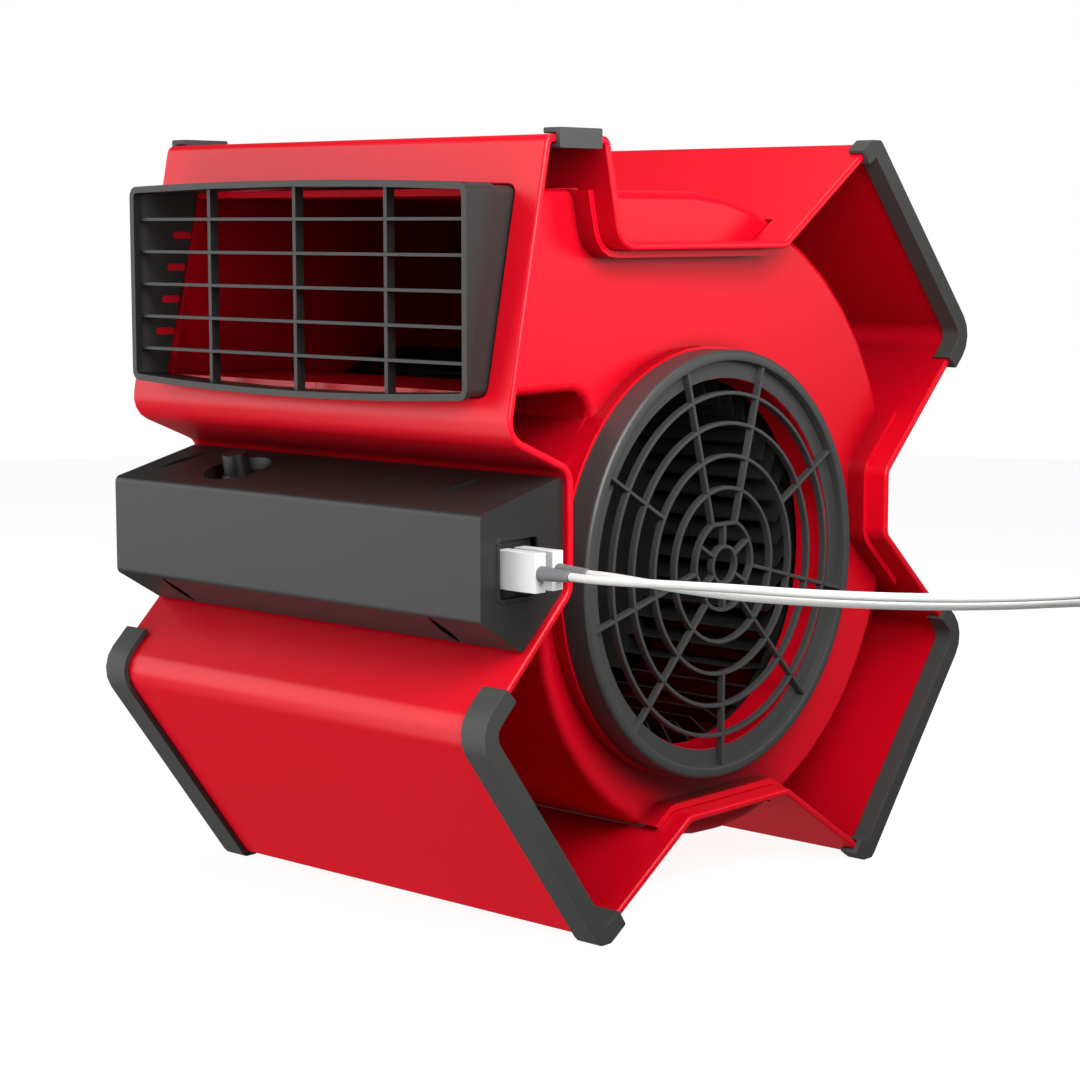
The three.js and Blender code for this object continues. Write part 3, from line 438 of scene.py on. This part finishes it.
BEZEL_OUT = 1.5                        # how far the bezel's rim reaches past the module, in mm
BEZEL_IN = 0.7                         # and how far it reaches in over it
BEZEL_SUNK = -0.4
BEZEL_PROUD = 0.5


def make_usb_bezel():
    """A thin raised rim round the USB module's window in the end of the control box."""
    low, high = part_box("usb_module")
    end_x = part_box("control_box")[1].x
    middle = (low + high) / 2
    half_w, half_h = (high.y - low.y) / 2, (high.z - low.z) / 2
    outer = rounded_rectangle(half_w + BEZEL_OUT * MM, half_h + BEZEL_OUT * MM, 3.5 * MM)
    inner = rounded_rectangle(half_w - BEZEL_IN * MM, half_h - BEZEL_IN * MM, 1.8 * MM)
    levels = [(outer, BEZEL_SUNK * MM, 0), (outer, BEZEL_PROUD * MM, 0.4 * MM),
              (inner, BEZEL_PROUD * MM, -0.3 * MM), (inner, BEZEL_SUNK * MM, 0)]
    shape = bmesh.new()
    rows = []
    for i in range(len(outer)):
        row = []
        for outline, rise, inset in levels:
            y, z = outline[i]
            shrink = 1 - inset / half_w
            row.append(shape.verts.new((end_x + rise, middle.y + y * shrink, middle.z + z * shrink)))
        rows.append(row)
    skin(shape, rows, closed=True)
    fitted(mesh_of("usb_bezel", shape), "black")


PANEL_Y = -152.6                       # a little in front of the panel, halfway up the outlet, in mm
PANEL_LEAN = 0.205                     # how far the panel goes back for each mm of height
CHEEK_BACK = (97.3, -142)              # x and y of the back edge of the cheek inside the outlet frame
CHEEK_SLOPE = 0.259
BAR_PITCH = 14.67                      # height from one slat of the outlet to the next
OUTLET_MIDDLE_Z = 283.25
LUG_OUTLINE = [(-4.5, 0), (-3.4, -1.6), (3.4, -1.6), (4.5, 0), (3.4, 1.6), (-3.4, 1.6)]
LUG_DEPTHS = (-0.5, 0.6)               # from inside the cheek to proud of it


def cheek_x(y):
    """Where the slanted cheek stands at y, in mm."""
    return CHEEK_BACK[0] + CHEEK_SLOPE * (CHEEK_BACK[1] - y)


def lug_row(shape, side, y, z, proud):
    """The corners of one end of a lug whose middle is at y and z."""
    row = []
    for dy, dz in LUG_OUTLINE:
        x = side * (cheek_x(y + dy) - proud)
        row.append(shape.verts.new((x * MM, (y + dy + CENTRING_Y) * MM, (z + dz) * MM)))
    return row


def make_outlet_lugs():
    """Red snap lugs of the housing that show in the sides of the outlet frame, between its bars."""
    shape = bmesh.new()
    for side in (-1, 1):
        for step in (-1.5, -0.5, 0.5, 1.5):
            z = OUTLET_MIDDLE_Z + step * BAR_PITCH
            y = PANEL_Y + PANEL_LEAN * (z - OUTLET_MIDDLE_Z)
            skin(shape, [lug_row(shape, side, y, z, proud) for proud in LUG_DEPTHS], closed=False)
    fitted(mesh_of("outlet_lugs", shape), "red")


make_usb_bezel()
make_outlet_lugs()


# ---------------------------------------------------------------- studio

def glowing(name, color, glow, roughness=0.9):
    """A matt white that also gives off some light of its own, so that it stays pale in shade."""
    material = moulded(name, color, roughness, grain=300, depth=0.02, shine=0, mottle=0.01)
    shader = material.node_tree.nodes["Principled BSDF"]
    shader.inputs["Emission Color"].default_value = (1, 1, 1, 1)
    shader.inputs["Emission Strength"].default_value = glow
    return material


def backdrop_piece(name, material, unseen_by, make, **sizes):
    shape = bmesh.new()
    make(shape, **sizes)
    mesh = bpy.data.meshes.new(name)
    shape.to_mesh(mesh)
    shape.free()
    piece = link(name, mesh)
    piece.data.materials.append(material)
    for way in unseen_by:
        setattr(piece, f"visible_{way}", False)


def studio_backdrop():
    """A round pale floor that takes shadows but gives none, in a white dome that only the camera sees."""
    unseen_by = ("diffuse", "glossy", "shadow")
    backdrop_piece("floor", glowing("floor_paper", (0.22, 0.22, 0.22), 0.91), unseen_by,
                   bmesh.ops.create_circle, cap_ends=True, segments=96, radius=2.2)
    backdrop_piece("backdrop", glowing("backdrop_white", (0, 0, 0), 1), unseen_by,
                   bmesh.ops.create_uvsphere, u_segments=32, v_segments=16, radius=12)


def softbox(name, place, target, size, power):
    data = bpy.data.lights.new(name, "AREA")
    data.shape = "RECTANGLE"
    data.size, data.size_y = size
    data.energy = power
    light = link(name, data)
    light.location = place
    light.rotation_euler = (Vector(target) - Vector(place)).to_track_quat("-Z", "Y").to_euler()
    light.visible_camera = False


MIDDLE = (0, 0, 0.17)                  # of the machine, in metres
SOFTBOXES = [                          # name, place, target, size in metres, power in watts
    ("key_softbox", (-1.55, -1.7, 0.75), MIDDLE, (2.2, 2.2), 44),
    ("bounce_softbox", (-0.3, -1.4, -0.7), MIDDLE, (1.8, 1.0), 18),
    ("top_softbox", (0, 0.1, 1.3), MIDDLE, (0.8, 0.8), 6),
    ("near_softbox", (0.46, -0.2, 0.46), (0.08, -0.05, 0.25), (0.4, 0.4), 5),
    ("side_softbox", (1.45, 1.6, 0.45), MIDDLE, (0.9, 0.5), 3),
]
AIR_LIGHT = 0.11                       # strength of the light that comes from everywhere


def studio_light():
    world = bpy.data.worlds.new("studio")
    world.use_nodes = True
    air = world.node_tree.nodes["Background"]
    air.inputs["Color"].default_value = (1, 1, 1, 1)
    air.inputs["Strength"].default_value = AIR_LIGHT
    SCENE.world = world
    SCENE.view_settings.view_transform = "Standard"
    for box in SOFTBOXES:
        softbox(*box)


studio_backdrop()
studio_light()

bpy.context.view_layer.update()
